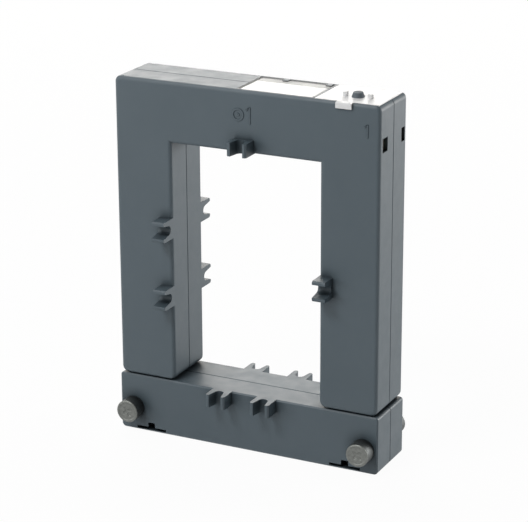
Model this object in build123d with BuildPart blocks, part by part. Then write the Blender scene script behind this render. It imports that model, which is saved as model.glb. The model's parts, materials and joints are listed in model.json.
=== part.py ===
from build123d import *
import os

os.makedirs("parts", exist_ok=True)

# Split-core current transformer. Millimetres, X across the front, Y to the rear, Z up.
# Window and housing
window_width = 82.0
window_height = 127.5
leg_width = 31.5
head_height = 31.5
split_height = 31.0
split_gap = 0.4
yoke_step = 0.8
depth = 32.4
wall = 2.0
corner_round = 3.0
leg_end_round = 3.4
edge_round = 1.9
yoke_foot_round = 2.2
yoke_end_round = 1.6
yoke_edge = 0.7
seam_chamfer = 0.35

# Overlapping lip along the seam between a front and a rear shell, left out at the corners
lip_width = 0.9
lip_height = 1.4
lip_gap = 0.15
lip_break = 7.0

# Clip sockets moulded round the window, a little off its middle
clip_length = 7.0
clip_reach = 8.8
clip_floor = 1.4
clip_channel_round = 2.5
clip_mouth = 6.8
clip_tip = 1.9
clip_tip_chamfer = 0.75
clip_shift = 0.85
side_clip_pitch = 36.2
yoke_clip_pitch = 25.1

# Cut strip-wound core
core_build = 13.0
core_inner_round = 1.5
core_head_gap = 1.5
yoke_core_rise = 6.0
core_gap = 0.3

# Bobbins and coils, with the room left beside them
bobbin_wall = 1.2
bobbin_flange = 1.6
bobbin_end_gap = 7.0
flange_edge = 0.8
window_room = 0.5
outer_room = 3.0
coil_room = 1.5
inner_gap = 0.2

# Ribs that steady the core
rib_thickness = 1.6
roof_rib_pitch = 28.0
roof_rib_gap = 2.3
yoke_rib_inset = 1.0
yoke_rib_spacing = 24.0
yoke_rib_height = 20.0

# Locking tongues and screws
lock_inset = 7.0
lock_height = 12.5
lock_shank = 5.0
lock_hole = 5.6
lock_head = 12.0
lock_head_reach = 8.2
lock_chamfer = 0.7
cross_length = 5.6
cross_width = 1.4
cross_depth = 1.5
thread_gap = 0.1
tongue_width = 8.0
tongue_thickness = 4.0
tongue_gap = 0.7
tongue_chamfer = 1.5

# Leaf spring under the yoke core
spring_span = 60.0
spring_crest = 16.0
spring_foot = 6.0
spring_width = 12.0
spring_thickness = 0.8

# Pockets for the foot brackets
foot_inset = 17.9
foot_slot_width = 17.0
foot_slot_height = 1.4
foot_slot_base = 0.9
foot_pocket_depth = 6.0
foot_notch_width = 4.0
foot_notch_height = 2.6
foot_pad = 2.0

# Terminal compartment in the roof
cover_length = 33.7
cover_rim = 1.6
cover_thickness = 2.0
cover_gap = 0.15
ledge_width = 1.2
ledge_thickness = 1.6
skirt_width = 1.0
skirt_depth = 1.2
tab_shift = -0.55
tab_width = 8.4
tab_thickness = 0.9
tab_drop = 3.0
seal_shift = 1.15
seal_y = -3.4
seal_base = 6.4
seal_tip = 4.8
seal_head = 2.3
seal_shank = 3.0
seal_length = 9.0
seal_slot = 0.8
seal_slot_depth = 1.4
seal_wire = 1.2
lug_spacing = 13.0
lug_width = 3.2
lug_thickness = 1.6
lug_height = 2.2
boss_wall = 2.0

# Label recess beside the cover
recess_length = 41.2
recess_depth = 0.9
recess_rim = 2.2
recess_cover_gap = 1.0
label_thickness = 0.5
label_end_gap = 1.4
label_width = 19.6
label_gap = 0.6
catch_length = 3.0
catch_reach = 3.4
catch_places = [14.5, 38.0]

# Secondary terminals behind the cable entries in the right side
entry_height = 7.0
entry_drop = 20.2
front_entry_inset = 5.9
front_entry_width = 6.0
rear_entry_inset = 4.6
rear_entry_width = 4.0
rear_clamp_shift = 0.7
clamp_width = 5.0
clamp_height = 9.0
clamp_length = 6.2
clamp_wall = 0.8
clamp_roof = 1.6
carrier_wall = 1.0
carrier_floor = 2.0
carrier_inset = 2.8
clamp_screw = 3.0
clamp_screw_head = 4.2
clamp_screw_head_height = 2.4
clamp_screw_lift = 2.0
screw_slot = 0.7
lead_diameter = 1.4
lead_rise = 1.7
lead_offset = 2.5
lead_inset = 1.2

# Derived sizes and places of the housing
window_top = split_height + window_height
height = window_top + head_height
upper_width = window_width + 2 * leg_width
yoke_width = upper_width + 2 * yoke_step
upper_base = split_height + split_gap / 2
yoke_top = split_height - split_gap / 2
face = depth / 2
cavity = face - wall
roof = cover_thickness + ledge_thickness
clip_width = clip_mouth + 2 * clip_tip
side_clip_height = split_height + window_height / 2 + clip_shift
foot_x = yoke_width / 2 - foot_inset
pad_top = foot_slot_base + foot_slot_height + foot_notch_height + foot_pad
lock_x = upper_width / 2 - lock_inset
tongue_end = pad_top + tongue_gap

# The bobbins fill the legs, the coils fill the bobbins and the core fills the coils
flange_reach = (leg_width - 2 * wall - window_room - outer_room) / 2
limb_centre = window_width / 2 + wall + window_room + flange_reach
tube_x = core_build / 2 + core_gap + bobbin_wall
coil_build = flange_reach - flange_edge - tube_x
tube_y = cavity - coil_room - coil_build
core_depth = 2 * (tube_y - bobbin_wall - core_gap)
core_window_width = 2 * limb_centre - core_build
core_width = 2 * limb_centre + core_build
core_outer_round = core_inner_round + core_build
core_window_top = window_top + wall + core_head_gap
core_top = core_window_top + core_build
yoke_core_window = split_height - yoke_core_rise
yoke_core_base = yoke_core_window - core_build
bobbin_base = upper_base + wall
bobbin_top = core_window_top - bobbin_end_gap

# Cover, label and terminals
cover_right = upper_width / 2 - cover_rim
cover_left = cover_right - cover_length
cover_centre = (cover_left + cover_right) / 2
cover_edge = face - cover_rim
cover_base = height - cover_thickness
tab_centre = cover_centre + tab_shift
seal_x = cover_centre + seal_shift
recess_right = cover_left - recess_cover_gap
recess_left = recess_right - recess_length
entry_centre = height - entry_drop
front_entry_y = front_entry_inset - face
rear_entry_y = face - rear_entry_inset
s1_y = front_entry_y
s2_y = rear_entry_y - rear_clamp_shift
carrier_left = cover_left + carrier_inset
carrier_right = upper_width / 2 - wall - inner_gap
carrier_base = core_top + inner_gap
carrier_top = height - roof - inner_gap
block_left = carrier_right - clamp_length - carrier_wall - inner_gap
clamp_x = carrier_right - clamp_length / 2
clamp_base = entry_centre - clamp_height / 2
clamp_top = clamp_base + clamp_height
lead_height = entry_centre + lead_rise
lead_foot = limb_centre + lead_offset
lead_s1_x = limb_centre + flange_reach - lead_inset
roof_rib_top = lead_height - lead_diameter / 2 - roof_rib_gap


def upper_outline(inset):
    """Inverted U of the upper housing, moved in by inset; the cavity has square corners."""
    low = upper_base + inset
    # Inside, the roof is lower: it is thick enough for the cover and its ledge
    top = height - inset - (roof - wall if inset else 0)
    inner_top = window_top + inset
    with BuildSketch() as outline:
        with Locations((0, low)):
            Rectangle(upper_width - 2 * inset, top - low, align=(Align.CENTER, Align.MIN))
            Rectangle(window_width + 2 * inset, inner_top - low,
                      align=(Align.CENTER, Align.MIN), mode=Mode.SUBTRACT)
        if inset < wall:
            fillet(outline.vertices().group_by(Axis.Y)[-1], corner_round - inset)
            fillet(outline.vertices().group_by(Axis.Y)[0], leg_end_round - inset)
    return outline.sketch


def yoke_outline(inset):
    """Rectangle of the yoke housing, moved in by inset; the cavity has square corners."""
    with BuildSketch() as outline:
        with Locations((0, inset)):
            Rectangle(yoke_width - 2 * inset, yoke_top - 2 * inset,
                      align=(Align.CENTER, Align.MIN))
        if inset < wall:
            fillet(outline.vertices().group_by(Axis.Y)[0], yoke_foot_round - inset)
            fillet(outline.vertices().group_by(Axis.Y)[-1], yoke_end_round - inset)
    return outline.sketch


def tray(outline, side, soften, size):
    """Half of a housing, open at the seam: side -1 is the front half, 1 the rear.

    The edges of its outer face are softened with a fillet or a chamfer of the given size.
    """
    with BuildPart() as half:
        with BuildSketch(Plane.XZ):
            add(outline(0))
        extrude(amount=-side * face)
        outer = half.faces().filter_by(Axis.Y).sort_by(Axis.Y)[0 if side < 0 else -1]
        soften(outer.edges(), size)
        seam = half.faces().filter_by(Axis.Y).sort_by(Axis.Y)[-1 if side < 0 else 0]
        chamfer(seam.edges(), seam_chamfer)
        with BuildSketch(Plane.XZ):
            add(outline(wall))
        extrude(amount=-side * cavity, mode=Mode.SUBTRACT)
    return half.part


def lip(outline, widen, reach):
    """Bands that follow the inside of the wall across the seam, grown by widen."""
    outside = outline(wall - lip_width - widen)
    corners = [edge.arc_center for edge in outside.edges().filter_by(GeomType.CIRCLE)]
    with BuildPart() as band:
        with BuildSketch(Plane.XZ):
            add(outside)
            add(outline(wall), mode=Mode.SUBTRACT)
            with Locations(*corners):
                Rectangle(lip_break - 2 * widen, lip_break - 2 * widen, mode=Mode.SUBTRACT)
        extrude(amount=-reach)
    return band.part


def clip_socket(x, z, side, along):
    """C-shaped clip socket whose end is flush with the window at x, z."""
    out = Vector(0, side, 0)
    plane = Plane(origin=(x, side * face, z), x_dir=out.cross(Vector(*along)), z_dir=along)
    with BuildPart() as socket:
        with BuildSketch(plane):
            with Locations((0, -wall)):
                Rectangle(clip_width, clip_reach + wall, align=(Align.CENTER, Align.MIN))
            with Locations((0, clip_floor + clip_channel_round)):
                Circle(clip_channel_round, mode=Mode.SUBTRACT)
            with BuildLine():
                Polyline((-clip_channel_round, clip_floor + clip_channel_round),
                         (clip_channel_round, clip_floor + clip_channel_round),
                         (clip_mouth / 2, clip_reach),
                         (-clip_mouth / 2, clip_reach),
                         close=True)
            make_face(mode=Mode.SUBTRACT)
        extrude(amount=clip_length)
        tips = socket.faces().filter_by(Axis.Y).group_by(Axis.Y)[0 if side < 0 else -1]
        tip_edges = tips.edges().filter_by(Axis((0, 0, 0), along))
        rows = tip_edges.group_by(Axis((0, 0, 0), plane.x_dir))
        chamfer(rows[0] + rows[-1], clip_tip_chamfer)
    return socket.part


def window_clips(side):
    """Clip sockets of one upper shell: two at the left, one at the right, one above."""
    left = -window_width / 2
    return [
        clip_socket(left, side_clip_height - side_clip_pitch / 2, side, (-1, 0, 0)),
        clip_socket(left, side_clip_height + side_clip_pitch / 2, side, (-1, 0, 0)),
        clip_socket(-left, side_clip_height, side, (1, 0, 0)),
        clip_socket(0, window_top, side, (0, 0, 1)),
    ]


def upper_shell(side):
    """Upper shell without its seam lip, with clips, ribs, tongues and openings."""
    body = tray(upper_outline, side, fillet, edge_round)
    clips = window_clips(side)
    with BuildPart() as shell:
        add(body)
        add(clips)
        # Ribs that steady the core under the roof
        with Locations(*[(x, side * cavity, window_top + wall)
                         for x in (-roof_rib_pitch, 0, roof_rib_pitch)]):
            Box(rib_thickness, cavity - core_depth / 2 - inner_gap, roof_rib_top - window_top - wall,
                align=(Align.CENTER, Align.MIN if side < 0 else Align.MAX, Align.MIN))
        # Tongues that reach down into the yoke housing
        for x in (-lock_x, lock_x):
            with Locations((x, side * (cavity - inner_gap), tongue_end)):
                tongue = Box(tongue_width, tongue_thickness, bobbin_base - tongue_end,
                             align=(Align.CENTER, Align.MIN if side < 0 else Align.MAX, Align.MIN),
                             mode=Mode.PRIVATE)
            foot = tongue.edges().filter_by(Axis.Y).group_by(Axis.Z)[0]
            add(tongue.chamfer(tongue_chamfer, None, foot))
            with Locations(Location((x, 0, lock_height), (90, 0, 0))):
                Cylinder(lock_hole / 2, depth, mode=Mode.SUBTRACT)
    return shell.part


def cut_upper_openings(side):
    """Cuts shared by both upper shells, through the seam: poles, cover, label, entries."""
    with BuildPart() as cuts:
        # Pole faces of the core
        with Locations((-limb_centre, 0, upper_base), (limb_centre, 0, upper_base)):
            Box(core_build + 2 * core_gap, core_depth + 2 * core_gap, 2 * wall + split_gap)
        # Recess, ledge and opening of the terminal cover
        with Locations((cover_centre, 0, cover_base)):
            Box(cover_length + 2 * cover_gap, 2 * (cover_edge + cover_gap), 2 * cover_thickness,
                align=(Align.CENTER, Align.CENTER, Align.MIN))
            Box(cover_length - 2 * ledge_width, 2 * (cover_edge - ledge_width), 4 * ledge_thickness)
        # Notch for the cover's tab
        with Locations((tab_centre, -face, cover_base)):
            Box(tab_width + 2 * cover_gap, 2 * (cover_rim + cover_gap), 2 * cover_thickness,
                align=(Align.CENTER, Align.CENTER, Align.MIN))
        # Label recess
        with Locations(((recess_left + recess_right) / 2, 0, height)):
            Box(recess_length, 2 * (face - recess_rim), 2 * recess_depth)
        # Cable entry of this shell
        entry_y = front_entry_y if side < 0 else rear_entry_y
        entry_width = front_entry_width if side < 0 else rear_entry_width
        with Locations((upper_width / 2, entry_y, entry_centre)):
            Box(3 * wall, entry_width, entry_height)
    return cuts.part


front_body = upper_shell(-1)
front_cuts = cut_upper_openings(-1)
front_lip = lip(upper_outline, 0, lip_height)
with BuildPart() as upper_front_shell:
    add(front_body)
    add(front_lip)
    add(front_cuts, mode=Mode.SUBTRACT)

rear_body = upper_shell(1)
rear_cuts = cut_upper_openings(1)
rear_rebate = lip(upper_outline, lip_gap, lip_height + lip_gap)
with BuildPart() as upper_rear_shell:
    add(rear_body)
    add(rear_rebate, mode=Mode.SUBTRACT)
    add(rear_cuts, mode=Mode.SUBTRACT)
    # Catches at the rear rim of the label recess
    with Locations(*[(recess_left + place, face - recess_rim, height) for place in catch_places]):
        Box(catch_length, catch_reach, recess_depth - label_thickness - cover_gap,
            align=(Align.CENTER, Align.MAX, Align.MAX))

# The yoke housing is two identical shells, one turned half round about the vertical
yoke_body = tray(yoke_outline, -1, chamfer, yoke_edge)
yoke_clips = [
    clip_socket(-clip_shift + place * yoke_clip_pitch / 2, yoke_top, -1, (0, 0, -1))
    for place in (-1, 1)
]
yoke_lip = lip(yoke_outline, 0, lip_height)
yoke_rebate = lip(yoke_outline, lip_gap, -lip_height - lip_gap)
with BuildPart() as yoke_front_shell:
    add(yoke_body)
    add(yoke_clips)
    # Lip on the right half of the seam and a rebate for its twin on the left half
    with BuildPart(mode=Mode.PRIVATE) as right_lip:
        add(yoke_lip)
        with Locations((lip_gap, 0, 0)):
            Box(yoke_width, depth, split_height, mode=Mode.INTERSECT,
                align=(Align.MIN, Align.CENTER, Align.MIN))
    with BuildPart(mode=Mode.PRIVATE) as left_rebate:
        add(yoke_rebate)
        with Locations((lip_gap, 0, 0)):
            Box(yoke_width, depth, split_height, mode=Mode.INTERSECT,
                align=(Align.MAX, Align.CENTER, Align.MIN))
    add(right_lip.part)
    add(left_rebate.part, mode=Mode.SUBTRACT)
    # Ribs that guide the yoke core
    outer_rib = window_width / 2 - yoke_rib_inset
    inner_rib = outer_rib - yoke_rib_spacing
    with Locations(*[(x, -cavity, wall) for x in (-outer_rib, -inner_rib, inner_rib, outer_rib)]):
        Box(rib_thickness, cavity - core_depth / 2 - inner_gap, yoke_rib_height,
            align=(Align.CENTER, Align.MIN, Align.MIN))
    # Thick floor round the pockets of the foot brackets
    with Locations((-foot_x, -cavity, wall), (foot_x, -cavity, wall)):
        Box(foot_slot_width + 2 * foot_pad, foot_pocket_depth, pad_top - wall,
            align=(Align.CENTER, Align.MIN, Align.MIN))
    with Locations((-foot_x, -face, foot_slot_base), (foot_x, -face, foot_slot_base)):
        Box(foot_slot_width, 2 * foot_pocket_depth, foot_slot_height,
            align=(Align.CENTER, Align.CENTER, Align.MIN), mode=Mode.SUBTRACT)
        Box(foot_notch_width, 2 * foot_pocket_depth, foot_slot_height + foot_notch_height,
            align=(Align.CENTER, Align.CENTER, Align.MIN), mode=Mode.SUBTRACT)
    # Openings for the core's pole faces and for the tongues
    with Locations((-limb_centre, 0, yoke_top), (limb_centre, 0, yoke_top)):
        Box(core_build + 2 * core_gap, core_depth + 2 * core_gap, 2 * wall + split_gap,
            mode=Mode.SUBTRACT)
    for x in (-lock_x, lock_x):
        with Locations((x, -cavity, yoke_top)):
            Box(tongue_width + 2 * inner_gap, tongue_thickness + 2 * inner_gap,
                2 * wall + split_gap,
                align=(Align.CENTER, Align.MIN, Align.CENTER), mode=Mode.SUBTRACT)
        with Locations(Location((x, 0, lock_height), (90, 0, 0))):
            Cylinder(lock_hole / 2, 2 * depth, mode=Mode.SUBTRACT)

with BuildPart() as yoke_rear_shell:
    add(yoke_front_shell.part.rotate(Axis.Z, 180))

# Core: an inverted U and a shallow U that closes it
with BuildPart() as u_core:
    with BuildSketch(Plane.XZ) as u_shape:
        with Locations((0, split_height)):
            Rectangle(core_width, core_top - split_height, align=(Align.CENTER, Align.MIN))
        fillet(u_shape.vertices().group_by(Axis.Y)[-1], core_outer_round)
        with Locations((0, split_height)):
            Rectangle(core_window_width, core_window_top - split_height,
                      align=(Align.CENTER, Align.MIN), mode=Mode.SUBTRACT)
        inner_corners = u_shape.vertices().group_by(Axis.Y)[-2]
        fillet(inner_corners, core_inner_round)
    extrude(amount=core_depth / 2, both=True)

with BuildPart() as yoke_core:
    with BuildSketch(Plane.XZ) as yoke_shape:
        with Locations((0, split_height)):
            Rectangle(core_width, split_height - yoke_core_base, align=(Align.CENTER, Align.MAX))
        fillet(yoke_shape.vertices().group_by(Axis.Y)[0], core_outer_round)
        with Locations((0, split_height)):
            Rectangle(core_window_width, yoke_core_rise,
                      align=(Align.CENTER, Align.MAX), mode=Mode.SUBTRACT)
    extrude(amount=core_depth / 2, both=True)


def bobbin(x):
    """Flanged winding former on the core limb at x."""
    length = bobbin_top - bobbin_base
    with BuildPart() as former:
        with BuildSketch(Plane.XY.offset(bobbin_base)):
            with Locations((x, 0)):
                Rectangle(2 * tube_x, 2 * tube_y)
        extrude(amount=length)
        with BuildSketch(Plane.XY.offset(bobbin_base), Plane.XY.offset(bobbin_top - bobbin_flange)):
            with Locations((x, 0)):
                Rectangle(2 * flange_reach, 2 * (cavity - inner_gap))
        extrude(amount=bobbin_flange)
        with BuildSketch(Plane.XY.offset(bobbin_base)):
            with Locations((x, 0)):
                Rectangle(core_build + 2 * core_gap, core_depth + 2 * core_gap)
        extrude(amount=length, mode=Mode.SUBTRACT)
    return former.part


def coil(x):
    """Enamelled copper winding between the flanges of the bobbin at x."""
    with BuildPart() as winding:
        with BuildSketch(Plane.XY.offset(bobbin_base + bobbin_flange)):
            with Locations((x, 0)):
                RectangleRounded(2 * (tube_x + coil_build), 2 * (tube_y + coil_build), coil_build)
                Rectangle(2 * tube_x, 2 * tube_y, mode=Mode.SUBTRACT)
        extrude(amount=bobbin_top - bobbin_base - 2 * bobbin_flange)
    return winding.part


left_former = bobbin(-limb_centre)
right_former = bobbin(limb_centre)
left_winding = coil(-limb_centre)
right_winding = coil(limb_centre)

with BuildPart() as bobbin_left:
    add(left_former)
with BuildPart() as bobbin_right:
    add(right_former)
with BuildPart() as coil_left:
    add(left_winding)
with BuildPart() as coil_right:
    add(right_winding)

# Bent leaf spring that lifts the yoke core against the pole faces
with BuildPart() as yoke_spring:
    with BuildSketch(Plane.XZ):
        with BuildLine():
            low = wall
            high = yoke_core_base - thread_gap - spring_thickness
            strip = Polyline((-spring_span / 2, low), (spring_foot - spring_span / 2, low),
                             (-spring_crest / 2, high), (spring_crest / 2, high),
                             (spring_span / 2 - spring_foot, low), (spring_span / 2, low))
            offset(strip, spring_thickness, kind=Kind.INTERSECTION, side=Side.LEFT)
        make_face()
    extrude(amount=spring_width / 2, both=True)

# Locking screw at each end of the yoke, and its nut at the rear
with BuildPart() as locking_screw:
    with BuildSketch(Plane.XZ.offset(face)):
        Circle(lock_head / 2)
    extrude(amount=lock_head_reach)
    chamfer(locking_screw.faces().sort_by(Axis.Y)[0].edges(), lock_chamfer)
    with BuildSketch(Plane.XZ.offset(face + lock_head_reach)):
        Rectangle(cross_length, cross_width)
        Rectangle(cross_width, cross_length)
    extrude(amount=-cross_depth, mode=Mode.SUBTRACT)
    with BuildSketch(Plane.XZ.offset(face)):
        Circle(lock_shank / 2)
    extrude(amount=-(depth + lock_head_reach - cross_depth))

with BuildPart() as locking_nut:
    with BuildSketch(Plane.XZ.offset(-face)):
        Circle(lock_head / 2)
    extrude(amount=-lock_head_reach)
    chamfer(locking_nut.faces().sort_by(Axis.Y)[-1].edges(), lock_chamfer)
    with BuildSketch(Plane.XZ.offset(-face)):
        Circle(lock_shank / 2 + thread_gap)
    extrude(amount=-(lock_head_reach - cross_depth + thread_gap), mode=Mode.SUBTRACT)

left_lock = Location((-lock_x, 0, lock_height))
right_lock = Location((lock_x, 0, lock_height))
with BuildPart() as locking_screw_left:
    add(locking_screw.part.moved(left_lock))
with BuildPart() as locking_screw_right:
    add(locking_screw.part.moved(right_lock))
with BuildPart() as locking_nut_left:
    add(locking_nut.part.moved(left_lock))
with BuildPart() as locking_nut_right:
    add(locking_nut.part.moved(right_lock))

# Carrier of the secondary terminals, over the core's right-hand corner
with BuildPart() as terminal_carrier:
    with Locations((carrier_left, 0, carrier_base)):
        Box(carrier_right - carrier_left, 2 * (cavity - inner_gap), carrier_floor,
            align=(Align.MIN, Align.CENTER, Align.MIN))
    with Locations((carrier_right, 0, clamp_base - carrier_wall - inner_gap)):
        Box(carrier_right - block_left, 2 * (cavity - inner_gap),
            carrier_top - clamp_base + carrier_wall + inner_gap,
            align=(Align.MAX, Align.CENTER, Align.MIN))
    shoulder = terminal_carrier.edges().filter_by(Axis.Y).group_by(Axis.Z)[-1].sort_by(Axis.X)[-1]
    fillet(shoulder, corner_round - wall)
    # Pillar for the seal screw
    with Locations((seal_x, seal_y, carrier_base)):
        Box(seal_shank + 2 * boss_wall, seal_shank + 2 * boss_wall,
            cover_base - inner_gap - carrier_base,
            align=(Align.CENTER, Align.CENTER, Align.MIN))
        Cylinder(seal_shank / 2 + thread_gap, cover_base,
                 align=(Align.CENTER, Align.CENTER, Align.MIN), mode=Mode.SUBTRACT)
    # Pockets, screw shafts and lead holes of the two clamps
    for y in (s1_y, s2_y):
        with Locations((carrier_right, y, entry_centre)):
            Box(clamp_length + inner_gap, clamp_width + inner_gap, clamp_height + inner_gap,
                align=(Align.MAX, Align.CENTER, Align.CENTER), mode=Mode.SUBTRACT)
        with Locations((clamp_x, y, clamp_top)):
            Cylinder(clamp_screw_head / 2 + inner_gap, carrier_top - clamp_top + wall,
                     align=(Align.CENTER, Align.CENTER, Align.MIN), mode=Mode.SUBTRACT)
    lead_hole = lead_diameter + 2 * inner_gap
    with Locations((lead_s1_x, s1_y, clamp_base)):
        Box(lead_hole, lead_hole, 4 * carrier_wall, mode=Mode.SUBTRACT)
    with Locations((block_left, s2_y, lead_height)):
        Box(4 * carrier_wall, lead_hole, lead_hole, mode=Mode.SUBTRACT)


def cage_clamp(y):
    """Brass cage with a wire tunnel along X and a screw hole in its roof."""
    with BuildPart() as cage:
        with Locations((carrier_right, y, clamp_base)):
            Box(clamp_length, clamp_width, clamp_height, align=(Align.MAX, Align.CENTER, Align.MIN))
        with Locations((carrier_right, y, clamp_base + clamp_wall)):
            Box(clamp_length - clamp_wall, clamp_width - 2 * clamp_wall,
                clamp_height - clamp_wall - clamp_roof,
                align=(Align.MAX, Align.CENTER, Align.MIN), mode=Mode.SUBTRACT)
        with Locations((clamp_x, y, clamp_top)):
            Cylinder(clamp_screw / 2 + thread_gap, 4 * clamp_roof, mode=Mode.SUBTRACT)
    return cage.part


def slotted_screw(x, y, tip, under_head):
    """Clamp screw with a slotted head, pointing down from under_head to tip."""
    with BuildPart() as screw:
        with Locations((x, y, tip)):
            Cylinder(clamp_screw / 2, under_head - tip, align=(Align.CENTER, Align.CENTER, Align.MIN))
        with Locations((x, y, under_head)):
            Cylinder(clamp_screw_head / 2, clamp_screw_head_height,
                     align=(Align.CENTER, Align.CENTER, Align.MIN))
        with Locations((x, y, under_head + clamp_screw_head_height)):
            Box(2 * clamp_screw_head, screw_slot, clamp_screw_head_height, mode=Mode.SUBTRACT)
    return screw.part


cages = [cage_clamp(y) for y in (s1_y, s2_y)]
screws = [
    slotted_screw(clamp_x, y, clamp_top - 2 * clamp_roof, clamp_top + clamp_screw_lift)
    for y in (s1_y, s2_y)
]
with BuildPart() as clamp_s1:
    add(cages[0])
with BuildPart() as clamp_s2:
    add(cages[1])
with BuildPart() as clamp_screw_s1:
    add(screws[0])
with BuildPart() as clamp_screw_s2:
    add(screws[1])


def lead(points):
    """Insulated wire through the given points."""
    with BuildPart() as wire:
        with BuildLine() as route:
            Polyline(*points)
        with BuildSketch(Plane(origin=route.line @ 0, z_dir=route.line % 0)):
            Circle(lead_diameter / 2)
        sweep(transition=Transition.RIGHT)
    return wire.part


series_wire = lead([(-lead_foot, s1_y, bobbin_top), (-lead_foot, s1_y, lead_height),
                    (lead_foot, s1_y, lead_height), (lead_foot, s1_y, bobbin_top)])
s1_wire = lead([(lead_s1_x, s1_y, bobbin_top), (lead_s1_x, s1_y, clamp_base)])
s2_wire = lead([(-lead_foot, s2_y, bobbin_top), (-lead_foot, s2_y, lead_height),
                (carrier_right - clamp_length, s2_y, lead_height)])
with BuildPart() as series_lead:
    add(series_wire)
with BuildPart() as lead_s1:
    add(s1_wire)
with BuildPart() as lead_s2:
    add(s2_wire)

# Translucent cover over the terminals, with a tab over the front edge
with BuildPart() as terminal_cover:
    with BuildSketch(Plane.XY.offset(cover_base)):
        with Locations((cover_centre, 0)):
            Rectangle(cover_length, 2 * cover_edge)
    extrude(amount=cover_thickness)
    # Skirt inside the ledge
    with BuildSketch(Plane.XY.offset(cover_base)):
        with Locations((cover_centre, 0)):
            skirt_length = cover_length - 2 * (ledge_width + cover_gap)
            skirt_span = 2 * (cover_edge - ledge_width - cover_gap)
            Rectangle(skirt_length, skirt_span)
            Rectangle(skirt_length - 2 * skirt_width, skirt_span - 2 * skirt_width,
                      mode=Mode.SUBTRACT)
    extrude(amount=-skirt_depth)
    # Tab, turned down over the front face
    with Locations((tab_centre, 0, height)):
        Box(tab_width, face + cover_gap + tab_thickness, cover_thickness,
            align=(Align.CENTER, Align.MAX, Align.MAX))
    with Locations((tab_centre, -face - cover_gap, height)):
        Box(tab_width, tab_thickness, tab_drop, align=(Align.CENTER, Align.MAX, Align.MAX))
    brow = terminal_cover.edges().filter_by(Axis.X).group_by(Axis.Y)[0].sort_by(Axis.Z)[-1]
    fillet(brow, tab_thickness)
    # Lugs for the sealing wire and the hole of the seal screw
    with Locations((seal_x - lug_spacing / 2, seal_y, height),
                   (seal_x + lug_spacing / 2, seal_y, height)):
        Box(lug_thickness, lug_width, lug_height, align=(Align.CENTER, Align.CENTER, Align.MIN))
    with Locations((seal_x, seal_y, height + lug_height / 2)):
        Box(2 * lug_spacing, seal_wire, seal_wire, mode=Mode.SUBTRACT)
    with Locations((seal_x, seal_y, cover_base)):
        Cylinder(seal_shank / 2 + inner_gap, 4 * cover_thickness, mode=Mode.SUBTRACT)

# Seal screw with a tapered head, slotted for the screwdriver and the sealing wire
with BuildPart() as seal_screw:
    with Locations((seal_x, seal_y, height)):
        Cone(seal_base / 2, seal_tip / 2, seal_head, align=(Align.CENTER, Align.CENTER, Align.MIN))
        Cylinder(seal_shank / 2, seal_length, align=(Align.CENTER, Align.CENTER, Align.MAX))
    with Locations((seal_x, seal_y, height + seal_head)):
        Box(2 * seal_base, seal_slot, 2 * seal_slot_depth, mode=Mode.SUBTRACT)

# White rating label in its recess
with BuildPart() as label_plate:
    with Locations(((recess_left + recess_right) / 2, -(face - recess_rim - label_gap),
                    height - recess_depth)):
        Box(recess_length - 2 * label_end_gap, label_width, label_thickness,
            align=(Align.CENTER, Align.MIN, Align.MIN))

nodes = {
    "upper_front_shell": upper_front_shell,
    "upper_rear_shell": upper_rear_shell,
    "yoke_front_shell": yoke_front_shell,
    "yoke_rear_shell": yoke_rear_shell,
    "u_core": u_core,
    "yoke_core": yoke_core,
    "bobbin_left": bobbin_left,
    "bobbin_right": bobbin_right,
    "coil_left": coil_left,
    "coil_right": coil_right,
    "yoke_spring": yoke_spring,
    "locking_screw_left": locking_screw_left,
    "locking_screw_right": locking_screw_right,
    "locking_nut_left": locking_nut_left,
    "locking_nut_right": locking_nut_right,
    "terminal_carrier": terminal_carrier,
    "clamp_s1": clamp_s1,
    "clamp_s2": clamp_s2,
    "clamp_screw_s1": clamp_screw_s1,
    "clamp_screw_s2": clamp_screw_s2,
    "series_lead": series_lead,
    "lead_s1": lead_s1,
    "lead_s2": lead_s2,
    "terminal_cover": terminal_cover,
    "seal_screw": seal_screw,
    "label_plate": label_plate,
}
for name, node in nodes.items():
    node.part.label = name
    export_step(node.part, f"parts/{name}.step")
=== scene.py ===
import json
import math

import bmesh
import bpy
from mathutils import Matrix, Vector


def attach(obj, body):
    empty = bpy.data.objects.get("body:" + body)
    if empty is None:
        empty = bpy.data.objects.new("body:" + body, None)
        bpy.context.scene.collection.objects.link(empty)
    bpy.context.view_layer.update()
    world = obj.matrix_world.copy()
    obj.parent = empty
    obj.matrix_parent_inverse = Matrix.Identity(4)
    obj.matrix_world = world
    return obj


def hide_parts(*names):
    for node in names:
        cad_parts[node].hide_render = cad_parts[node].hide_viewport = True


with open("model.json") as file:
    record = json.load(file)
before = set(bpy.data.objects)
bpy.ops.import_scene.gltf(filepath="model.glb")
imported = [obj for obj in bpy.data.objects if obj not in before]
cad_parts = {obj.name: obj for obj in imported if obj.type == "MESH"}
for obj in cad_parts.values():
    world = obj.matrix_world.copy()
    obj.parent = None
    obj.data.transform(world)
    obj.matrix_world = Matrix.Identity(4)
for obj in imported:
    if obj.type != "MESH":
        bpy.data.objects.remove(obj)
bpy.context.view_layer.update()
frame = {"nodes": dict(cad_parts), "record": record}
nodes = frame["nodes"]
scene = bpy.context.scene
MM = 0.001

# Half the depth of the housing in millimetres, as in the part's source
FACE = 16.2

# Painted shade in crevices: the share of open surround at which the painted darkening of colour
# and gloss is full, and at which it ends
SHADE_DEEP, GLOSS_DEEP, CREVICE_END = 0.25, 0.3, 0.95
# Specular level in the deepest crevices and in the open; dimming it there is painted shade on the
# highlights
GLOSS_LOW, GLOSS_FULL = 0.1, 0.5


# Materials
def shader(name):
    """New node material: returns it, its node tree and its Principled shader."""
    material = bpy.data.materials.new(name)
    material.use_nodes = True
    tree = material.node_tree
    return material, tree, tree.nodes["Principled BSDF"]


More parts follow.
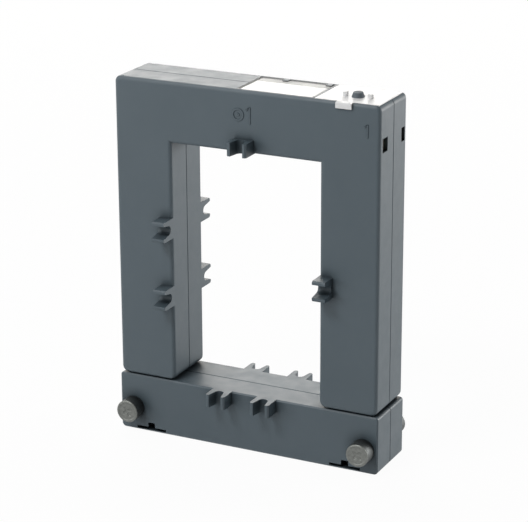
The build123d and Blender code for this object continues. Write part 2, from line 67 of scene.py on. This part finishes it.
def noise(tree, scale, detail=2.0, roughness=0.5, stretch=None):
    """Noise in object space, in features per metre; stretch scales the axes apart."""
    coord = tree.nodes.new("ShaderNodeTexCoord")
    texture = tree.nodes.new("ShaderNodeTexNoise")
    texture.inputs["Scale"].default_value = scale
    texture.inputs["Detail"].default_value = detail
    texture.inputs["Roughness"].default_value = roughness
    if stretch:
        mapping = tree.nodes.new("ShaderNodeMapping")
        mapping.inputs["Scale"].default_value = stretch
        tree.links.new(coord.outputs["Object"], mapping.inputs["Vector"])
        tree.links.new(mapping.outputs["Vector"], texture.inputs["Vector"])
    else:
        tree.links.new(coord.outputs["Object"], texture.inputs["Vector"])
    return texture.outputs["Fac"]


def ramp(tree, fac, stops):
    """Colour ramp over fac; stops are (position, colour or grey)."""
    node = tree.nodes.new("ShaderNodeValToRGB")
    elements = node.color_ramp.elements
    while len(elements) < len(stops):
        elements.new(0.5)
    for element, (position, value) in zip(elements, stops):
        element.position = position
        colour = value if isinstance(value, (tuple, list)) else (value, value, value)
        element.color = (*colour, 1.0)
    tree.links.new(fac, node.inputs["Fac"])
    return node.outputs["Color"]


def bump(tree, principled, fac, distance, strength, after=None):
    """Bump of the given depth in metres, on top of another bump's normal if given."""
    node = tree.nodes.new("ShaderNodeBump")
    node.inputs["Strength"].default_value = strength
    node.inputs["Distance"].default_value = distance
    tree.links.new(fac, node.inputs["Height"])
    if after is not None:
        tree.links.new(after, node.inputs["Normal"])
    tree.links.new(node.outputs["Normal"], principled.inputs["Normal"])
    return node.outputs["Normal"]


def paint_crevice_shade(tree, principled, colour, reach, darkest):
    """Painted shade: colour and gloss darkened by ambient occlusion in corners and gaps narrower
    than reach, in metres.
    """
    occlusion = tree.nodes.new("ShaderNodeAmbientOcclusion")
    occlusion.inputs["Distance"].default_value = reach
    shade = ramp(tree, occlusion.outputs["AO"], [(SHADE_DEEP, darkest), (CREVICE_END, 1.0)])
    product = tree.nodes.new("ShaderNodeVectorMath")
    product.operation = "MULTIPLY"
    tree.links.new(colour, product.inputs[0])
    tree.links.new(shade, product.inputs[1])
    tree.links.new(product.outputs["Vector"], principled.inputs["Base Color"])
    gloss = ramp(tree, occlusion.outputs["AO"],
                 [(GLOSS_DEEP, GLOSS_LOW), (CREVICE_END, GLOSS_FULL)])
    tree.links.new(gloss, principled.inputs["Specular IOR Level"])


def base_colour(tree, principled, colour, crevice_shade):
    """Colour as it is, or with painted shade in crevices, given as (reach, darkest)."""
    if crevice_shade:
        paint_crevice_shade(tree, principled, colour, *crevice_shade)
    else:
        tree.links.new(colour, principled.inputs["Base Color"])


def moulded(name, low, high, rough=(0.42, 0.52), grain=2600.0, depth=0.00004, strength=0.35,
            specular=0.5, crevice_shade=None):
    """Moulded plastic: fine eroded grain, faint flow in the colour and in the gloss.

    With crevice shade, specular is only the socket's own value, which the linked painted-shade
    gloss overrides. With crevices, specular is only what the export falls back to.
    """
    material, tree, principled = shader(name)
    flow = noise(tree, 28.0, detail=3.0)
    # With crevice shade given, the colour and gloss get painted shade in corners and gaps
    base_colour(tree, principled, ramp(tree, flow, [(0.3, low), (0.7, high)]), crevice_shade)
    gloss = noise(tree, 160.0, detail=4.0)
    tree.links.new(ramp(tree, gloss, [(0.3, rough[0]), (0.7, rough[1])]),
                   principled.inputs["Roughness"])
    waves = bump(tree, principled, noise(tree, 60.0, detail=1.0), 0.00006, 0.06)
    bump(tree, principled, noise(tree, grain, detail=2.0), depth, strength, after=waves)
    principled.inputs["Specular IOR Level"].default_value = specular
    return material


def metal(name, low, high, rough=(0.3, 0.45), stretch=(1.0, 1.0, 1.0), grain=900.0,
          depth=0.00003, strength=0.25, crevice_shade=None):
    """Metal with fine working marks."""
    material, tree, principled = shader(name)
    marks = noise(tree, grain, detail=4.0, roughness=0.6, stretch=stretch)
    # With crevice shade given, the colour and gloss get painted shade in corners and gaps
    base_colour(tree, principled, ramp(tree, marks, [(0.3, low), (0.7, high)]), crevice_shade)
    tree.links.new(ramp(tree, marks, [(0.3, rough[1]), (0.7, rough[0])]),
                   principled.inputs["Roughness"])
    bump(tree, principled, marks, depth, strength)
    principled.inputs["Metallic"].default_value = 1.0
    return material


def milky(name):
    """Milky translucent plastic of the terminal cover."""
    material, tree, principled = shader(name)
    flow = noise(tree, 60.0, detail=2.0)
    tree.links.new(ramp(tree, flow, [(0.3, (0.85, 0.855, 0.855)), (0.7, (0.89, 0.895, 0.895))]),
                   principled.inputs["Base Color"])
    tree.links.new(ramp(tree, noise(tree, 300.0), [(0.3, 0.37), (0.7, 0.47)]),
                   principled.inputs["Roughness"])
    bump(tree, principled, noise(tree, 220.0), 0.00003, 0.2)
    principled.inputs["Transmission Weight"].default_value = 0.03
    principled.inputs["Subsurface Weight"].default_value = 0.12
    principled.inputs["Subsurface Radius"].default_value = (0.0006, 0.0006, 0.0006)
    principled.inputs["IOR"].default_value = 1.49
    return material


def winding(name):
    """Enamelled wire laid in turns round an upright former."""
    material, tree, principled = shader(name)
    coord = tree.nodes.new("ShaderNodeTexCoord")
    turns = tree.nodes.new("ShaderNodeTexWave")
    turns.bands_direction = "Z"
    turns.inputs["Scale"].default_value = 500.0
    turns.inputs["Distortion"].default_value = 0.4
    tree.links.new(coord.outputs["Object"], turns.inputs["Vector"])
    tree.links.new(ramp(tree, turns.outputs["Fac"],
                        [(0.1, (0.16, 0.035, 0.012)), (0.8, (0.58, 0.20, 0.08))]),
                   principled.inputs["Base Color"])
    bump(tree, principled, turns.outputs["Fac"], 0.0002, 0.8)
    principled.inputs["Metallic"].default_value = 0.6
    principled.inputs["Roughness"].default_value = 0.35
    return material


def laminated(name):
    """Strip-wound core steel: thin layers with darker lines between them."""
    material, tree, principled = shader(name)
    layers = noise(tree, 40.0, detail=6.0, stretch=(60.0, 0.4, 60.0))
    tree.links.new(ramp(tree, layers, [(0.35, (0.10, 0.105, 0.11)), (0.65, (0.34, 0.345, 0.36))]),
                   principled.inputs["Base Color"])
    bump(tree, principled, layers, 0.00005, 0.3)
    principled.inputs["Metallic"].default_value = 0.9
    principled.inputs["Roughness"].default_value = 0.42
    return material


# Housing and steels get painted shade in their crevices, given as (reach, darkest)
housing = moulded("housing_slate", (0.075, 0.103, 0.122), (0.083, 0.112, 0.132),
                  crevice_shade=(0.008, 0.25))
screw_steel = metal("screw_steel", (0.152, 0.159, 0.150), (0.20, 0.207, 0.196),
                    rough=(0.42, 0.55), grain=700.0, depth=0.00005, strength=0.3,
                    crevice_shade=(0.009, 0.15))
seal_dark = moulded("seal_dark", (0.110, 0.133, 0.150), (0.126, 0.152, 0.172), rough=(0.6, 0.7),
                    specular=0.3)
label_white = moulded("label_white", (0.78, 0.78, 0.78), (0.82, 0.82, 0.82), rough=(0.35, 0.45),
                      grain=900.0, depth=0.00001, strength=0.1)
bobbin_nylon = moulded("bobbin_nylon", (0.60, 0.57, 0.50), (0.68, 0.65, 0.58))
# Darker, rougher copy of the screw steel: painted shade on the screw heads' sides and the locking
# nuts, which also dims their highlights
shaded_steel = metal("shaded_steel", (0.088, 0.094, 0.094), (0.112, 0.119, 0.119), rough=(0.5, 0.62),
                   grain=700.0, depth=0.00005, strength=0.3, crevice_shade=(0.009, 0.3))
looks = {
    "housing": housing,
    "core_steel": laminated("core_steel"),
    "bobbin_plastic": bobbin_nylon,
    "winding": winding("copper_winding"),
    "spring_steel": metal("spring_steel", (0.42, 0.43, 0.45), (0.56, 0.57, 0.59),
                          stretch=(0.1, 6.0, 6.0)),
    "lock_metal": screw_steel,
    "clamp_brass": metal("clamp_brass", (0.62, 0.50, 0.28), (0.74, 0.62, 0.36)),
    "clamp_screw_steel": metal("clamp_screw_steel", (0.55, 0.56, 0.57), (0.66, 0.67, 0.68)),
    "lead_insulation": moulded("lead_insulation", (0.010, 0.010, 0.011), (0.018, 0.018, 0.020)),
    "clear_cover": milky("milky_cover"),
    "seal_plastic": seal_dark,
    "label": label_white,
}
for part in frame["record"]["subparts"]:
    mesh = nodes[part["node"]].data
    mesh.materials.clear()
    # Locking nuts take the darker copy of the screw steel, as painted shade
    mesh.materials.append(shaded_steel if part["node"].startswith("locking_nut")
                          else looks[part["material_slot"]])


# Raised marks on the faces, in millimetres: x and z of each centre, and sizes
MARK_X, MARK_Z = -3.2, 177.6
SIDE_X = 2.7
FRONT_SIDE_SIZE, REAR_SIDE_SIZE = 8.4, 7.6
TERMINAL_X, TERMINAL_Z, TERMINAL_SIZE = 65.4, 177.0, 6.4
RING_RADIUS, DOT_RADIUS, CROSS_HALF = 2.8, 0.5, 1.5
STROKE, FINE_STROKE, RISE = 1.1, 1.0, 0.35
# A stroke's foot and crest as shares of its width, and how deep its foot sits in the face
FOOT, CREST, SINK = 0.5, 0.32, -0.05
front_plane = (Vector((0.0, -FACE, 0.0)), Vector((1, 0, 0)), Vector((0, 0, 1)), Vector((0, -1, 0)))
rear_plane = (Vector((0.0, FACE, 0.0)), Vector((-1, 0, 0)), Vector((0, 0, 1)), Vector((0, 1, 0)))


# Pieces added to the solids
def new_piece(name, mesh_builder, material):
    """Object from a function that fills a bmesh in millimetres."""
    work = bmesh.new()
    mesh_builder(work)
    bmesh.ops.scale(work, vec=(MM, MM, MM), verts=work.verts)
    bmesh.ops.recalc_face_normals(work, faces=work.faces)
    mesh = bpy.data.meshes.new(name)
    work.to_mesh(mesh)
    work.free()
    mesh.materials.append(material)
    piece = bpy.data.objects.new(name, mesh)
    scene.collection.objects.link(piece)
    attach(piece, "root")
    return piece


def ridge(work, path, width, plane, closed=False):
    """Raised stroke of trapezoid section along a path drawn on a plane (origin, u, v, out)."""
    origin, u, v, out = plane
    points = [Vector(p) for p in path]
    count = len(points)
    rows = []
    for i, point in enumerate(points):
        before = points[(i - 1) % count] if closed or i else point
        after = points[(i + 1) % count] if closed or i < count - 1 else point
        along = (after - before).normalized()
        side = Vector((-along.y, along.x))
        row = []
        for across, lift in ((-FOOT, SINK), (-CREST, RISE), (CREST, RISE), (FOOT, SINK)):
            flat = point + side * across * width
            row.append(work.verts.new(origin + u * flat.x + v * flat.y + out * lift))
        rows.append(row)
    spans = count if closed else count - 1
    for i in range(spans):
        first, second = rows[i], rows[(i + 1) % count]
        for j in range(4):
            k = (j + 1) % 4
            work.faces.new((first[j], first[k], second[k], second[j]))
    if not closed:
        work.faces.new(rows[0])
        work.faces.new(rows[-1][::-1])


def circle(x, y, radius, steps=32):
    """Points round a circle."""
    return [(x + radius * math.cos(2 * math.pi * i / steps),
             y + radius * math.sin(2 * math.pi * i / steps)) for i in range(steps)]


def direction_mark(plane, towards):
    """Ring with a dot, where the conductor comes out, or with a cross, where it goes in."""
    def build(work):
        ridge(work, circle(MARK_X, MARK_Z, RING_RADIUS), STROKE, plane, closed=True)
        if towards:
            ridge(work, circle(MARK_X, MARK_Z, DOT_RADIUS, 16), FINE_STROKE, plane, closed=True)
        else:
            for tilt in (-CROSS_HALF, CROSS_HALF):
                ridge(work, [(MARK_X - CROSS_HALF, MARK_Z - tilt),
                             (MARK_X + CROSS_HALF, MARK_Z + tilt)], FINE_STROKE, plane)
    return build


def numeral(digit, x, z, size, plane):
    """Plain raised 1 or 2."""
    strokes = {
        1: [[(-0.16, 0.30), (0.06, 0.5), (0.06, -0.5)]],
        2: [[(-0.28, 0.28), (-0.16, 0.46), (0.08, 0.5), (0.26, 0.34), (0.24, 0.12),
             (-0.30, -0.5), (0.30, -0.5)]],
    }

    def build(work):
        for stroke in strokes[digit]:
            ridge(work, [(x + px * size, z + pz * size) for px, pz in stroke], STROKE, plane)
    return build


new_piece("front_direction_mark", direction_mark(front_plane, True), housing)
new_piece("front_side_numeral", numeral(1, SIDE_X, MARK_Z, FRONT_SIDE_SIZE, front_plane),
          housing)
new_piece("rear_direction_mark", direction_mark(rear_plane, False), housing)
new_piece("rear_side_numeral", numeral(2, SIDE_X, MARK_Z, REAR_SIDE_SIZE, rear_plane),
          housing)
# Both terminals are at the +x end, which is the -u end of the rear plane
new_piece("front_terminal_numeral",
          numeral(1, TERMINAL_X, TERMINAL_Z, TERMINAL_SIZE, front_plane), housing)
new_piece("rear_terminal_numeral",
          numeral(2, -TERMINAL_X, TERMINAL_Z, TERMINAL_SIZE, rear_plane), housing)


def bar(work, low, high, soft=0.08):
    """Straight bar between two corners, with softened edges."""
    made = bmesh.ops.create_cube(work, size=1.0)["verts"]
    for vert in made:
        vert.co = Vector([low[i] + (vert.co[i] + 0.5) * (high[i] - low[i]) for i in range(3)])
    edges = {edge for vert in made for edge in vert.link_edges}
    bmesh.ops.bevel(work, geom=list(edges), offset=soft, segments=2, affect="EDGES")


# Grey frame that lines the label recess, with an opening for the label
FRAME_LEFT, FRAME_RIGHT, FRAME_EDGE = -4.9, 36.1, 13.9
FRAME_FLOOR, FRAME_SEAT, FRAME_TOP = 189.12, 189.58, 189.93
OPEN_LEFT, OPEN_RIGHT, OPEN_FRONT, OPEN_REAR = -3.75, 34.95, -13.55, 6.35
RIM, RIM_SINK = 0.4, 0.1
# Its rim is cut at the recess's two catches
CATCHES, CATCH_HALF = (9.5, 33.0), 1.6


def label_frame(work):
    """Flat border round the label, with a rim at its outer edge."""
    for low, high in (((FRAME_LEFT, -FRAME_EDGE), (OPEN_LEFT, FRAME_EDGE)),
                      ((OPEN_RIGHT, -FRAME_EDGE), (FRAME_RIGHT, FRAME_EDGE)),
                      ((OPEN_LEFT, -FRAME_EDGE), (OPEN_RIGHT, OPEN_FRONT)),
                      ((OPEN_LEFT, OPEN_REAR), (OPEN_RIGHT, FRAME_EDGE))):
        bar(work, (*low, FRAME_FLOOR), (*high, FRAME_SEAT))
    rim_foot = FRAME_SEAT - RIM_SINK
    for low, high in (((FRAME_LEFT, -FRAME_EDGE), (FRAME_LEFT + RIM, FRAME_EDGE)),
                      ((FRAME_RIGHT - RIM, -FRAME_EDGE), (FRAME_RIGHT, FRAME_EDGE)),
                      ((FRAME_LEFT, -FRAME_EDGE), (FRAME_RIGHT, -FRAME_EDGE + RIM))):
        bar(work, (*low, rim_foot), (*high, FRAME_TOP))
    stops = [FRAME_LEFT]
    for catch in CATCHES:
        stops += [catch - CATCH_HALF, catch + CATCH_HALF]
    stops.append(FRAME_RIGHT)
    for left, right in zip(stops[::2], stops[1::2]):
        bar(work, (left, FRAME_EDGE - RIM, rim_foot), (right, FRAME_EDGE, FRAME_TOP))


label_grey = moulded("label_frame_grey", (0.33, 0.335, 0.33), (0.37, 0.375, 0.37),
                     rough=(0.4, 0.5), grain=900.0, depth=0.00001, strength=0.1)
new_piece("label_frame", label_frame, label_grey)


# Locking screws with a rimmed head, a worn cross recess and a threaded shank
LOCK_X, LOCK_Z = 65.5, 12.5
HEAD_RADIUS, HEAD_REACH, HEAD_ROUND = 6.0, 8.2, 0.7
HEAD_SEAT = 0.25
SHANK_RADIUS, SHANK_END = 2.5, 22.9
THREAD_START, THREAD_PITCH, THREAD_DEPTH = 4.0, 0.8, 0.35
TIP_LENGTH, TIP_CHAMFER = 0.1, 0.3
# Depths of the dished face and of the cross in it; each pair is where an edge starts and ends
DISH_DEPTH, DISH_EDGE = 0.28, (4.4, 4.9)
CROSS_DEPTH, ARM_SIDE, ARM_END = 0.32, (0.45, 0.85), (2.4, 3.0)
SEGMENTS, THREAD_STEPS = 96, 6
FACE_RINGS, EDGE_RINGS = 32, 6
FACE_Y = -FACE - HEAD_REACH
ROOT_RADIUS = SHANK_RADIUS - THREAD_DEPTH
THREAD_END = SHANK_END - TIP_LENGTH


def fade(value, edge):
    """1 up to the edge's start, 0 from its end on, and smooth between them."""
    start, end = edge
    t = min(max((end - value) / (end - start), 0.0), 1.0)
    return t * t * (3.0 - 2.0 * t)


def screw_face(u, v, turn):
    """Depth of the head's face below its rim at the point (u, v)."""
    radius = math.hypot(u, v)
    along = abs(u * math.cos(turn) + v * math.sin(turn))
    across = abs(v * math.cos(turn) - u * math.sin(turn))
    dish = DISH_DEPTH * fade(radius, DISH_EDGE)
    arms = max(fade(across, ARM_SIDE) * fade(along, ARM_END),
               fade(along, ARM_SIDE) * fade(across, ARM_END))
    return dish + CROSS_DEPTH * arms


def head_rings(turn):
    """Rings of the head, from its dished face over the rounded edge to its seat."""
    rings = []
    for i in range(1, FACE_RINGS + 1):
        radius = (HEAD_RADIUS - HEAD_ROUND) * i / FACE_RINGS
        rings.append([(radius, FACE_Y + screw_face(
            radius * math.cos(2 * math.pi * j / SEGMENTS),
            radius * math.sin(2 * math.pi * j / SEGMENTS), turn)) for j in range(SEGMENTS)])
    for i in range(1, EDGE_RINGS + 1):
        angle = math.pi / 2 * i / EDGE_RINGS
        rings.append([(HEAD_RADIUS - HEAD_ROUND * (1 - math.sin(angle)),
                       FACE_Y + HEAD_ROUND * (1 - math.cos(angle)))] * SEGMENTS)
    rings.append([(HEAD_RADIUS, -FACE - HEAD_SEAT)] * SEGMENTS)
    rings.append([(HEAD_RADIUS - HEAD_SEAT, -FACE)] * SEGMENTS)
    return rings


def shank_rings():
    """Rings of the shank: plain neck, helical thread and chamfered tip."""
    y = -FACE + THREAD_START
    rings = [[(ROOT_RADIUS, -FACE)] * SEGMENTS, [(ROOT_RADIUS, y)] * SEGMENTS]
    while y < THREAD_END:
        y += THREAD_PITCH / THREAD_STEPS
        rings.append([(SHANK_RADIUS - THREAD_DEPTH * abs(
            2 * ((y / THREAD_PITCH + j / SEGMENTS) % 1.0) - 1), min(y, THREAD_END))
            for j in range(SEGMENTS)])
    rings.append([(ROOT_RADIUS - TIP_CHAMFER, SHANK_END)] * SEGMENTS)
    return rings


def locking_screw(x, turn):
    """Screw along y through (x, LOCK_Z), skinned over rings of (radius, y)."""
    def build(work):
        rows = [[work.verts.new((x + radius * math.cos(2 * math.pi * j / SEGMENTS), y,
                                 LOCK_Z + radius * math.sin(2 * math.pi * j / SEGMENTS)))
                 for j, (radius, y) in enumerate(ring)]
                for ring in head_rings(turn) + shank_rings()]
        for row, (first, second) in enumerate(zip(rows, rows[1:])):
            for j in range(SEGMENTS):
                k = (j + 1) % SEGMENTS
                face = work.faces.new((first[j], first[k], second[k], second[j]))
                # The face and its rounded edge take the screw steel, the sides the darker copy as
                # painted shade
                face.material_index = 0 if row < FACE_RINGS + EDGE_RINGS - 1 else 1
        middle = work.verts.new((x, FACE_Y + screw_face(0.0, 0.0, turn), LOCK_Z))
        for j in range(SEGMENTS):
            work.faces.new((middle, rows[0][(j + 1) % SEGMENTS], rows[0][j]))
        work.faces.new(rows[-1])
        for face in work.faces:
            face.smooth = True
    return build


for side, x, turn in (("left", -LOCK_X, 0.55), ("right", LOCK_X, -0.75)):
    piece = new_piece(f"locking_screw_{side}_turned", locking_screw(x, turn), screw_steel)
    # Second slot: the darker copy, painted shade on the head's sides
    piece.data.materials.append(shaded_steel)
    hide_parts(f"locking_screw_{side}")


# Camera, from the perspective fit of the photograph: metres from the aim, and its offsets
AZIMUTH, ELEVATION, ROLL = math.radians(26.333), math.radians(18.695), math.radians(-0.228)
AIM = Vector((0.0, 0.0, 0.095))
DISTANCE, OFFSET_RIGHT, OFFSET_UP = 1.08328, 0.00240, 0.00252
LENS, SENSOR = 145.90, 36.0
back = Vector((math.sin(AZIMUTH) * math.cos(ELEVATION),
               -math.cos(AZIMUTH) * math.cos(ELEVATION), math.sin(ELEVATION)))
level = Vector((math.cos(AZIMUTH), math.sin(AZIMUTH), 0.0))
upright = back.cross(level)
right = level * math.cos(ROLL) + upright * math.sin(ROLL)
up = upright * math.cos(ROLL) - level * math.sin(ROLL)
camera_data = bpy.data.cameras.new("camera")
camera_data.lens = LENS
camera_data.sensor_width = SENSOR
camera_data.clip_start = 0.01
camera = bpy.data.objects.new("camera", camera_data)
place = AIM + back * DISTANCE + right * OFFSET_RIGHT + up * OFFSET_UP
facing = Matrix((right, up, back)).transposed().to_4x4()
camera.matrix_world = Matrix.Translation(place) @ facing
scene.collection.objects.link(camera)
scene.camera = camera


# Light
LAMPS_AIM = Vector((0.0, 0.0, 0.09))
DAYLIGHT, WARM, FAINT_WARM = (1.0, 1.0, 1.0), (1.0, 0.965, 0.915), (1.0, 0.985, 0.965)
AMBIENT, BACKGROUND_WHITE, FLOOR_WHITE = 0.05, 1.0, 0.96
FLOOR_HALF = 6


def softbox(name, place, size, power, colour=DAYLIGHT):
    """Rectangular lamp at a place, turned towards the part."""
    data = bpy.data.lights.new(name, "AREA")
    data.shape = "RECTANGLE"
    data.size, data.size_y = size
    data.energy = power
    data.color = colour
    lamp = bpy.data.objects.new(name, data)
    lamp.location = place
    lamp.rotation_euler = (LAMPS_AIM - Vector(place)).to_track_quat("-Z", "Y").to_euler()
    lamp.visible_camera = False
    scene.collection.objects.link(lamp)


softbox("behind_left", (-0.60, 1.15, 0.52), (1.1, 0.5), 7.3, WARM)
softbox("behind_right", (0.95, 0.95, 0.25), (0.6, 0.5), 11.5, FAINT_WARM)
softbox("front_left", (-1.0, -0.9, 0.35), (0.6, 0.6), 4.3)
softbox("front_above", (-0.30, -0.75, 1.05), (0.5, 0.3), 7.0)
softbox("overhead", (-0.45, 0.42, 1.10), (0.5, 0.3), 3.2, FAINT_WARM)


def background_rays(tree):
    """1 for rays that should see the white background: camera, glossy and transmission rays."""
    light_path = tree.nodes.new("ShaderNodeLightPath")
    fac = light_path.outputs["Is Camera Ray"]
    for ray in ("Is Glossy Ray", "Is Transmission Ray"):
        either = tree.nodes.new("ShaderNodeMath")
        either.operation = "MAXIMUM"
        tree.links.new(fac, either.inputs[0])
        tree.links.new(light_path.outputs[ray], either.inputs[1])
        fac = either.outputs["Value"]
    return fac


# Even surround for the diffuse light, white for the rays above
world = bpy.data.worlds.new("studio")
world.use_nodes = True
scene.world = world
tree = world.node_tree
tree.nodes.clear()
output = tree.nodes.new("ShaderNodeOutputWorld")
ambient = tree.nodes.new("ShaderNodeBackground")
ambient.inputs["Strength"].default_value = AMBIENT
white = tree.nodes.new("ShaderNodeBackground")
white.inputs["Strength"].default_value = BACKGROUND_WHITE
mix = tree.nodes.new("ShaderNodeMixShader")
tree.links.new(background_rays(tree), mix.inputs["Fac"])
tree.links.new(ambient.outputs["Background"], mix.inputs[1])
tree.links.new(white.outputs["Background"], mix.inputs[2])
tree.links.new(mix.outputs["Shader"], output.inputs["Surface"])

# Pale floor, white to the same rays apart from a trace of the object's shadow
floor_mesh = bpy.data.meshes.new("floor")
corners = [(-FLOOR_HALF, -FLOOR_HALF, 0), (FLOOR_HALF, -FLOOR_HALF, 0),
           (FLOOR_HALF, FLOOR_HALF, 0), (-FLOOR_HALF, FLOOR_HALF, 0)]
floor_mesh.from_pydata(corners, [], [(0, 1, 2, 3)])
floor = bpy.data.objects.new("floor", floor_mesh)
floor_material = bpy.data.materials.new("floor_white")
floor_material.use_nodes = True
tree = floor_material.node_tree
principled = tree.nodes["Principled BSDF"]
tint = noise(tree, 3.0)
tree.links.new(ramp(tree, tint, [(0.3, 0.80), (0.7, 0.83)]), principled.inputs["Base Color"])
principled.inputs["Roughness"].default_value = 0.8
glow = tree.nodes.new("ShaderNodeEmission")
seen = tree.nodes.new("ShaderNodeMath")
seen.operation = "MULTIPLY"
seen.inputs[1].default_value = FLOOR_WHITE
tree.links.new(background_rays(tree), seen.inputs[0])
mix = tree.nodes.new("ShaderNodeMixShader")
tree.links.new(seen.outputs["Value"], mix.inputs["Fac"])
tree.links.new(principled.outputs["BSDF"], mix.inputs[1])
tree.links.new(glow.outputs["Emission"], mix.inputs[2])
tree.links.new(mix.outputs["Shader"], tree.nodes["Material Output"].inputs["Surface"])
floor_mesh.materials.append(floor_material)
floor.visible_shadow = False
scene.collection.objects.link(floor)

scene.view_settings.view_transform = "Standard"
